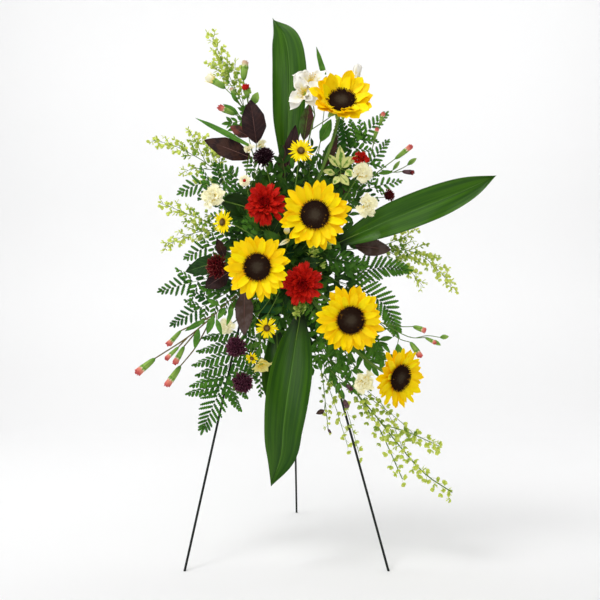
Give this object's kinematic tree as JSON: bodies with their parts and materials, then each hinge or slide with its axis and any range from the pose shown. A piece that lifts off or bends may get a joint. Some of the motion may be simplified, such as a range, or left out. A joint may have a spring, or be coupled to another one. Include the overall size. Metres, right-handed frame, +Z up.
{
  "type": "standing funeral spray",
  "caption": "Tall standing funeral spray: sunflowers, mums, small blooms, ferns and strap leaves in a foam block on a folding wire easel.",
  "frame": {"origin": "on the floor, under the middle of the overall box", "axes": "+Z up, -Y toward the viewer (the face of the spray), +X to the viewer's right"},
  "size_m": [0.802, 0.5846, 1.2851],
  "materials": {
    "green_wire": "satin dark green",
    "wet_foam": "soaked, matt",
    "tray_green": "matt green",
    "aspidistra_green": "waxy leaf",
    "stem_green": "plant stem",
    "sunflower_yellow": "petal",
    "sunflower_disc": "dark brown florets",
    "deep_red": "petal",
    "cream": "petal",
    "daisy_yellow": "petal",
    "plum": "floret",
    "near_black": "floret",
    "white_petal": "petal",
    "burgundy_leaf": "leaf",
    "goldenrod": "floret",
    "bell_green": "floret",
    "fern_green": "leaf",
    "bud_coral": "bud",
    "pale_leaf": "leaf"
  },
  "bodies": {
    "stand": {"alstroemeria": "white_petal", "bells_dark": "burgundy_leaf", "bells_right": "bell_green", "buds_low_left": "bud_coral", "buds_right": "stem_green", "buds_upper_left": "bud_coral", "buds_upper_right": "bud_coral", "burgundy_leaves_centre": "burgundy_leaf", "burgundy_leaves_left": "burgundy_leaf", "burgundy_leaves_low": "burgundy_leaf", "burgundy_leaves_right": "burgundy_leaf", "carnation_green": "cream", "carnation_low": "cream", "carnations_left": "cream", "carnations_right": "cream", "daisy_left": "daisy_yellow", "daisy_low_spray": "daisy_yellow", "daisy_upper": "daisy_yellow", "fern_bottom": "fern_green", "fern_left_low": "fern_green", "fern_left_upper": "fern_green", "fern_right": "fern_green", "fern_upper_right": "fern_green", "filler_leaves": "fern_green", "foam": "wet_foam", "foam_tray": "tray_green", "front_leg_left": "green_wire", "front_leg_right": "green_wire", "goldenrod_left": "goldenrod", "goldenrod_left_low": "goldenrod", "goldenrod_right": "goldenrod", "goldenrod_upper_left": "goldenrod", "hinge_bar": "green_wire", "leaf_bottom_back": "aspidistra_green", "leaf_bottom_front": "aspidistra_green", "leaf_left_dark": "aspidistra_green", "leaf_right": "aspidistra_green", "leaf_top": "aspidistra_green", "lower_bar": "green_wire", "mum_left": "deep_red", "mum_low": "deep_red", "pale_leaves": "pale_leaf", "purple_heads": "plum", "scabiosa": "near_black", "sunflower_centre_disc": "sunflower_disc", "sunflower_centre_petals": "sunflower_yellow", "sunflower_centre_stem": "stem_green", "sunflower_left_disc": "sunflower_disc", "sunflower_left_petals": "sunflower_yellow", "sunflower_left_stem": "stem_green", "sunflower_low_disc": "sunflower_disc", "sunflower_low_petals": "sunflower_yellow", "sunflower_low_stem": "stem_green", "sunflower_right_disc": "sunflower_disc", "sunflower_right_petals": "sunflower_yellow", "sunflower_right_stem": "stem_green", "sunflower_top_disc": "sunflower_disc", "sunflower_top_petals": "sunflower_yellow", "sunflower_top_stem": "stem_green"},
    "back_leg": {"back_leg": "green_wire"}
  },
  "joints": [
    {"name": "back_leg_fold", "type": "hinge", "parent": "stand", "child": "back_leg", "pos_m": [-0.055, -0.00689, 0.74], "axis": [1, 0, 0], "range_deg": [-34, 0]}
  ]
}
